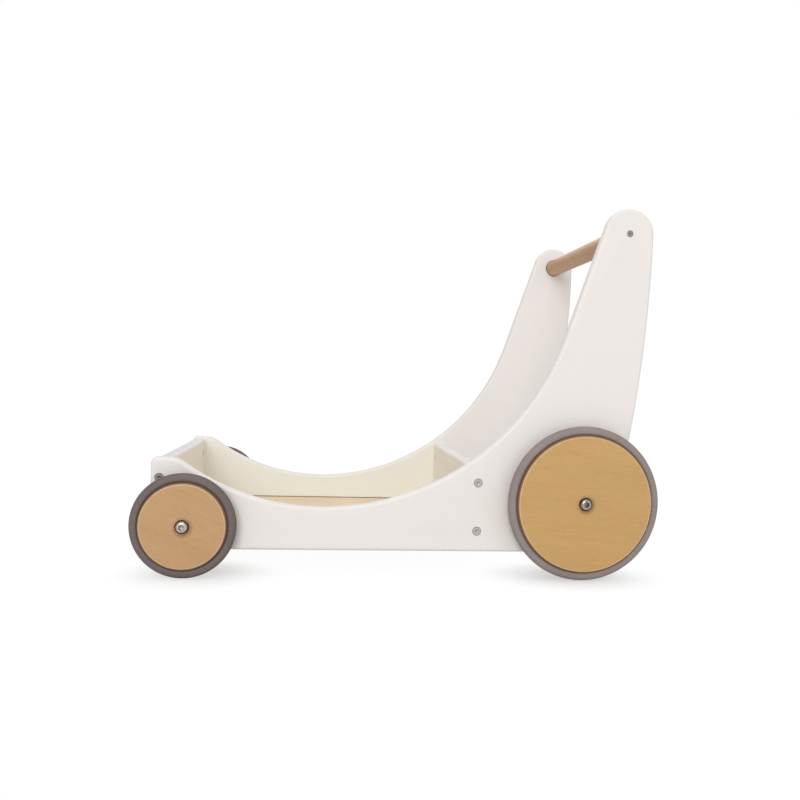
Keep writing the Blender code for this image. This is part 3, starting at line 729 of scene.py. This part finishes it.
# The wheels: discs sawn from plain-grained hardwood, each at its own angle to the plank, faces
# sandpapered and edges rounded, under satin lacquer. A paler band at the start of each rounded edge
# is a painted highlight, and the rim beside the groove that holds the tyre is painted dark brown as
# shade of the crease. The hub is bored for a bush and recessed for the axle bolt's head, and the
# wood about it carries a painted shadow of that head.
DISC_TONES = {
    "front": ((197, 157, 111), (168, 128, 84)),
    "rear": ((203, 162, 103), (175, 132, 77)),
}
GRAIN_TURN = {"front_left": -28, "rear_left": -5, "front_right": 64, "rear_right": 12}
PLANK_ALONG, PLANK_ACROSS, PLANK_HEIGHT = 0.31, 0.17, {"front": 0.57, "rear": 0.23}
RIM_LAND, RIM_GROOVE = 0.0045, 0.002
RIM_ROUND, HIGHLIGHT_FROM, HIGHLIGHT_TO = 0.0032, 0.00002, 0.0003
CREASE_SHADE_WIDTH, CREASE_SHADE_FROM, CREASE_SHADE_FADE, CREASE_SHADE_MOST = 0.0031, 0.00015, 0.0005, 0.8
HUB_BORE, RECESS_RADIUS, RECESS_DEPTH, RECESS_EDGE = 0.0066, 0.0074, 0.005, 0.0003
# A painted shadow of the axle bolt's head on the disc, set a little down and towards the rear.
HUB_SHADOW_RADIUS, HUB_SHADOW_MOST, HUB_SHADOW_OFFSET = 0.0115, 0.6, Vector((0.0008, 0, -0.001))
HUB_SHADOW_TONE = (70, 45, 28)


def from_axis(vert):
    """How far a corner of a turned shape is from its axis."""
    return vert.co.to_2d().length


def disc_shape(radius, half):
    """A wheel's disc about Z, outer side up; its rim carries the marks for painted highlight and
    shade.
    """
    land, groove, floor = half - RIM_LAND, radius - RIM_GROOVE, half - RECESS_DEPTH
    points = [(radius, half), (radius, land), (groove, land), (groove, -land), (radius, -land)]
    points += [(radius, -half), (HUB_BORE, -half), (HUB_BORE, floor), (RECESS_RADIUS, floor)]
    shape = turn(points + [(RECESS_RADIUS, half)], steps=144, ring=True)

    def at_rim(edge):
        spot = edge.verts[0]
        return abs(abs(spot.co.z) - half) < WELD and from_axis(spot) > radius / 2

    def at_recess(edge):
        spot = edge.verts[0]
        return abs(spot.co.z - half) < WELD and from_axis(spot) < radius / 2

    # Marks the first part of each rounded rim for a painted highlight.
    highlight_mark = shape.verts.layers.float.new("edge")
    rounded = ease(shape, RIM_ROUND, segments=8, choose=at_rim)
    for vert in {v for face in rounded for v in face.verts}:
        rim_highlight = half - HIGHLIGHT_TO < abs(vert.co.z) < half - HIGHLIGHT_FROM
        vert[highlight_mark] = 1.0 if rim_highlight else 0.0
    # The rim beside the tyre is marked for painted crease shade, deeper away from each face.
    crease_shade_mark = shape.verts.layers.float.new("crease_shade")
    for vert in (v for v in shape.verts if from_axis(v) > radius - CREASE_SHADE_WIDTH):
        crease_depth = (half - abs(vert.co.z) - CREASE_SHADE_FROM) / CREASE_SHADE_FADE
        vert[crease_shade_mark] = min(max(crease_depth, 0.0), CREASE_SHADE_MOST)
    ease(shape, RECESS_EDGE, segments=2, choose=at_recess)
    return shape


def hub_shadow(material, hub):
    """Paints a shadow of the axle bolt's head on a disc's wood about a point of its hub."""
    tree = material.node_tree
    tone = tree.nodes["Principled BSDF"].inputs["Base Color"]
    place = node(tree, "ShaderNodeTexCoord").outputs["Object"]
    apart = vectors(tree, "DISTANCE", place, hub)
    hub_shaded = remap(tree, apart, HUB_SHADOW_RADIUS, HUB_BORE, 0.0, HUB_SHADOW_MOST)
    shadowed = mix(tree, hub_shaded, tone.links[0].from_socket, colour(*HUB_SHADOW_TONE))
    tree.links.new(shadowed, tone)


for end in ENDS:
    for label, side in SIDES.items():
        name = f"{end}_{label}"
        at, radius, half = round_size("wheel_disc_" + name)
        pale, dark = DISC_TONES[end]
        plank = Vector((PLANK_ALONG * len(name), PLANK_ACROSS * side, PLANK_HEIGHT[end]))
        material = wood(
            "wheel_wood_" + name, pale, dark, bands=34.0, contrast=0.5,
            turned=(0, math.radians(GRAIN_TURN[name]), 0), centre=plank, gloss=0.4,
        )
        # Painted shadow of the bolt head about the hub.
        hub_shadow(material, at + Vector((0, side * half, 0)) + HUB_SHADOW_OFFSET)
        shape = seat(disc_shape(radius, half), at.x, at.y, at.z, (0, side, 0))
        disc = keep(shape, "disc_" + name, material)
        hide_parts("wheel_disc_" + name)
        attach(disc, "wheel_" + name)

# The tyres: grey rubber rings moulded with a crowned tread, soft shoulders and a rib inside that
# snaps into the rim's groove. The mould left fine rings on the flanks and a parting line.
# The front tyres take a darker copy and the rear ones a lighter copy of one grey rubber: painted
# shade and light.
TYRE_LIT_AND_SHADED_TONES = {
    "front": ((113, 102, 99), (101, 90, 88)),
    "rear": ((148, 136, 132), (137, 125, 122)),
}
TYRE_DEPTH, TREAD_CROWN = 0.0088, 0.0006
RIB_HALF, RIB_DEPTH = 0.0027, 0.002
LIP_REACH, LIP_DROP = 0.003, 0.0022
SHOULDER_REACH, SHOULDER_DROP = 0.005, 0.004
PARTING_LINE = ((0.0002, 0.0007), (0.0001, 0.0002), (0.0, 0.0))
RING_PITCH = 0.0021


def rubber(name, pale, dark):
    """Moulded rubber: worn patches, a grey bloom, grit, and the mould's rings at an even pitch."""
    material, tree, shader, place = finish(name, Specular_IOR_Level=0.35)
    patch = noise(tree, place, scale=22.0, detail=5.0, roughness=0.6)
    worn = remap(tree, patch, 0.3, 0.72)
    swell = sums(tree, "MULTIPLY", marked(tree, "reach"), 2 * math.pi / RING_PITCH)
    rings = sums(tree, "SINE", swell)
    shade = sums(tree, "MULTIPLY_ADD", rings, 0.22, worn, use_clamp=True)
    tree.links.new(mix(tree, shade, colour(*pale), colour(*dark)), shader.inputs["Base Color"])
    bloom = noise(tree, place, scale=75.0, detail=4.0)
    tree.links.new(remap(tree, bloom, 0.0, 1.0, 0.46, 0.66), shader.inputs["Roughness"])
    grit = noise(tree, place, scale=1500.0, detail=3.0)
    height = sums(tree, "MULTIPLY_ADD", rings, 0.5, grit)
    relief(tree, shader, height, strength=0.2, distance=0.0002)
    return material


def tyre_shape(radius, half):
    """A tyre about Z; its corners carry how far they are below the tread, for the rings."""
    inner, crown = radius - TYRE_DEPTH, radius - TREAD_CROWN
    rib = inner - RIB_DEPTH
    quarter_turn = [i * math.pi / 16 for i in range(9)]
    upper = []
    for angle in quarter_turn:
        reach, drop = LIP_REACH * (1 - math.cos(angle)), LIP_DROP * (1 - math.sin(angle))
        upper.append((inner + reach, half - drop))
    for angle in quarter_turn:
        reach, drop = SHOULDER_REACH * (1 - math.sin(angle)), SHOULDER_DROP * (1 - math.cos(angle))
        upper.append((crown - reach, half - drop))
    upper += [(radius - below, height) for below, height in PARTING_LINE]
    lower = [(r, -h) for r, h in reversed(upper[:-1])]
    rim_side = [(inner, -RIB_HALF), (rib, -RIB_HALF), (rib, RIB_HALF), (inner, RIB_HALF)]
    shape = turn(upper + lower + rim_side, steps=144, ring=True)
    mark = shape.verts.layers.float.new("reach")
    for vert in shape.verts:
        vert[mark] = radius - from_axis(vert)
    return shape


for end in ENDS:
    tyre_rubber = rubber("tyre_rubber_" + end, *TYRE_LIT_AND_SHADED_TONES[end])
    for label, side in SIDES.items():
        name = f"{end}_{label}"
        at, radius, half = round_size("tyre_" + name)
        shape = seat(tyre_shape(radius, half), at.x, at.y, at.z, (0, side, 0))
        ring = keep(shape, "tyre_ring_" + name, tyre_rubber, sharp=50)
        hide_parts("tyre_" + name)
        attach(ring, "wheel_" + name)

# Bushes and spacers: plain moulded nylon. A bush is pressed into each hub, and a spacer between
# wheel and panel keeps the tyre off the paint.
BUSH_BORE, BUSH_EDGE = 0.0043, 0.0003
SPACER_BORE, SPACER_EDGE = 0.0033, 0.0004
nylon, tree, shader, place = finish(
    "moulded_nylon", Subsurface_Weight=0.05, Subsurface_Scale=0.002
)
milky = noise(tree, place, scale=160.0, detail=3.0)
tint = mix(tree, milky, colour(229, 226, 218), colour(214, 210, 200))
tree.links.new(tint, shader.inputs["Base Color"])
tree.links.new(remap(tree, milky, 0.0, 1.0, 0.4, 0.6), shader.inputs["Roughness"])
relief(tree, shader, milky, strength=0.06, distance=0.0002)


def plain_ring(name, node_name, bore, edge, material, body, side):
    """A turned ring that fills its CAD node's box, both faces eased."""
    at, outer, half = round_size(node_name)
    points = [(outer, half), (outer, -half), (bore, -half), (bore, half)]
    shape = turn(points, steps=64, ring=True)
    ease(shape, edge, segments=2)
    ring = keep(seat(shape, at.x, at.y, at.z, (0, side, 0)), name, material)
    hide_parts(node_name)
    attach(ring, body)


for end in ENDS:
    for label, side in SIDES.items():
        name = f"{end}_{label}"
        plain_ring(
            "bush_" + name, "wheel_bush_" + name, BUSH_BORE, BUSH_EDGE,
            nylon, "wheel_" + name, side,
        )
        plain_ring(
            "spacer_" + name, "axle_spacer_" + name, SPACER_BORE, SPACER_EDGE,
            nylon, "frame", side,
        )

# The axles: nickel-plated shoulder bolts with a rounded head and a key socket, a zinc washer under
# each head, and a threaded zinc sleeve driven into the panel from outside. The rear bolts are more
# polished, in a darker copy of the nickel that paints the darker reflection they show, and their
# sockets carry deeper painted shade.
AXLE_NICKEL = {
    "front": plated(
        "nickel_plate_front", (210, 202, 196), (192, 184, 178),
        roughness=0.34, scratch=0.06, socket_shade=0.7,
    ),
    # The rear bolts' nickel is a darker copy: painted dark reflection.
    "rear": plated(
        "nickel_plate_rear_shaded", (196, 186, 178), (172, 162, 154),
        roughness=0.12, scratch=0.06, socket_shade=0.95,
    ),
}
AXLE_HEAD_RADIUS, AXLE_HEAD_HEIGHT = 0.0062, 0.0065
HEAD_FLAT, HEAD_ROUND_REACH, HEAD_ROUND_DROP = 0.0034, 0.0028, 0.0026
SHANK_RADIUS, AXLE_THREAD_RADIUS = 0.004, 0.003
AXLE_FLATS, AXLE_SOCKET_DEPTH = 0.0056, 0.003
WASHER_BORE, SLEEVE_BORE, ZINC_EDGE = 0.0043, 0.0033, 0.0003
for end in ENDS:
    for label, side in SIDES.items():
        name = f"{end}_{label}"
        at = middle("axle_bolt_" + name)
        top, length = proud("axle_bolt_" + name, side)
        base = top - AXLE_HEAD_HEIGHT
        shoulder = proud("axle_spacer_" + name, side)[0] + GAP
        points = [(0, top)]
        for angle in (i * math.pi / 20 for i in range(11)):
            reach = HEAD_FLAT + HEAD_ROUND_REACH * math.sin(angle)
            points.append((reach, top - HEAD_ROUND_DROP + HEAD_ROUND_DROP * math.cos(angle)))
        points += [(AXLE_HEAD_RADIUS, base), (SHANK_RADIUS, base), (SHANK_RADIUS, shoulder)]
        points += [(AXLE_THREAD_RADIUS, shoulder)]
        points += thread(AXLE_THREAD_RADIUS, shoulder, top - length)
        shape = key_socket(turn(points, steps=48), AXLE_FLATS, AXLE_SOCKET_DEPTH, top)
        seat(shape, at.x, side * PANEL_OUTER, at.z, (0, side, 0))
        bolt = keep(shape, "axle_" + name, AXLE_NICKEL[end])
        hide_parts("axle_bolt_" + name)
        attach(bolt, "frame")
        plain_ring(
            "washer_" + name, "axle_washer_" + name, WASHER_BORE, ZINC_EDGE,
            BRIGHT_ZINC, "frame", side,
        )
        plain_ring(
            "sleeve_" + name, "axle_sleeve_" + name, SLEEVE_BORE, ZINC_EDGE,
            BRIGHT_ZINC, "frame", side,
        )

# The studio: a white floor with white all round, lit by four soft boxes. The floor is bleached
# out to the background's white, and keeps a soft shadow only under each wheel.
FLOOR_SIZE, FLOOR_DROP = 30, 0.0002
FADE_FROM, FADE_TO = 0.32, 0.7
BLEACH = 0.95
FLOOR_GLOW = 1.02
FLOOR_WHITE = (0.8, 0.8, 0.8, 1)
SHADOW_INSET, SHADOW_WIDTH, SHADOW_CORE = 0.02, 0.08, 0.2
SHADOWS = {
    "front": {"shift": 0.01, "reach": 0.1, "depth": 0.36},
    "rear": {"shift": -0.005, "reach": 0.115, "depth": 0.52},
}
shape = bmesh.new()
bmesh.ops.create_grid(shape, x_segments=1, y_segments=1, size=FLOOR_SIZE)
bmesh.ops.translate(shape, verts=shape.verts, vec=(0, 0, -FLOOR_DROP))
ground, tree, shader, place = finish("studio_floor", Roughness=0.9, Specular_IOR_Level=0.0)
shader.inputs["Base Color"].default_value = FLOOR_WHITE
smooth = {"interpolation_type": "SMOOTHSTEP"}
fade = remap(tree, vectors(tree, "LENGTH", place), FADE_FROM, FADE_TO, **smooth)
spot = node(tree, "ShaderNodeSeparateXYZ", {"Vector": place}).outputs
shadow_y = middle("tyre_front_right").y - SHADOW_INSET
across = sums(tree, "SUBTRACT", sums(tree, "ABSOLUTE", spot["Y"]), shadow_y)
shadows = []
for end, shadow in SHADOWS.items():
    along = sums(tree, "SUBTRACT", spot["X"], ENDS[end] + shadow["shift"])
    flat = node(tree, "ShaderNodeCombineXYZ", {"X": along, "Y": across}).outputs[0]
    scaled = vectors(tree, "MULTIPLY", flat, (1 / shadow["reach"], 1 / SHADOW_WIDTH, 0))
    apart = vectors(tree, "LENGTH", scaled)
    shadows.append(remap(tree, apart, 1.0, SHADOW_CORE, 0.0, shadow["depth"], **smooth))
bleached = sums(tree, "SUBTRACT", BLEACH, sums(tree, "MAXIMUM", *shadows))
share = sums(tree, "MAXIMUM", fade, bleached)
seen = node(tree, "ShaderNodeLightPath").outputs["Is Camera Ray"]
shown = sums(tree, "MULTIPLY", share, seen)
white = node(tree, "ShaderNodeEmission", {"Color": (1, 1, 1, 1), "Strength": FLOOR_GLOW})
layers = {0: shown, 1: shader.outputs[0], 2: white.outputs[0]}
whole = node(tree, "ShaderNodeMixShader", layers)
tree.links.new(whole.outputs[0], tree.nodes["Material Output"].inputs["Surface"])
floor = keep(shape, "studio_floor", ground)
floor.modifiers.clear()

WORLD_GLOW = 0.5
world = bpy.data.worlds.new("studio")
bpy.context.scene.world = world
world.use_nodes = True
tree = world.node_tree
seen = node(tree, "ShaderNodeLightPath").outputs["Is Camera Ray"]
soft = node(tree, "ShaderNodeBackground", {"Color": (1, 0.99, 0.975, 1), "Strength": WORLD_GLOW})
white = node(tree, "ShaderNodeBackground", {"Color": (1, 1, 1, 1), "Strength": 1.0})
layers = {0: seen, 1: soft.outputs[0], 2: white.outputs[0]}
mixed = node(tree, "ShaderNodeMixShader", layers)
tree.links.new(mixed.outputs[0], tree.nodes["World Output"].inputs["Surface"])


def lamp(name, watts, size, at, aim):
    """A square soft box at one point that looks at another."""
    light = bpy.data.lights.new(name, "AREA")
    light.energy = watts
    light.size = size
    obj = bpy.data.objects.new(name, light)
    obj.location = at
    obj.rotation_euler = (Vector(aim) - Vector(at)).to_track_quat("-Z", "Y").to_euler()
    bpy.context.scene.collection.objects.link(obj)


lamp("key_box", watts=75.0, size=2.0, at=(-1.0, -4.0, 1.7), aim=(0, 0, 0.2))
lamp("fill_box", watts=15.0, size=3.0, at=(3.0, -3.4, 1.6), aim=(0, 0, 0.2))
lamp("top_box", watts=28.0, size=3.0, at=(-0.1, -0.3, 3.2), aim=(0, 0, 0.1))
lamp("back_box", watts=30.0, size=3.0, at=(0.6, 4.0, 1.8), aim=(0, 0, 0.2))

# The camera: at the height of a low table and about a metre off, a little ahead of the walker's
# middle, turned slightly towards its rear. Its place and angles were fitted to the photograph.
SENSOR_WIDTH, FOCAL_LENGTH = 36.0, 35.785
EYE = (-0.0956, -1.0175, 0.2181)
YAW, TILT, ROLL = math.radians(5.998), math.radians(1.573), math.radians(1.772)
lens = bpy.data.cameras.new("camera")
lens.sensor_width = SENSOR_WIDTH
lens.lens = FOCAL_LENGTH
camera = bpy.data.objects.new("camera", lens)
bpy.context.scene.collection.objects.link(camera)
level = Matrix.Rotation(-YAW, 4, "Z") @ Matrix.Rotation(math.pi / 2 - TILT, 4, "X")
camera.matrix_world = Matrix.Translation(EYE) @ level @ Matrix.Rotation(ROLL, 4, "Z")
bpy.context.scene.camera = camera
bpy.context.scene.view_settings.view_transform = "Standard"
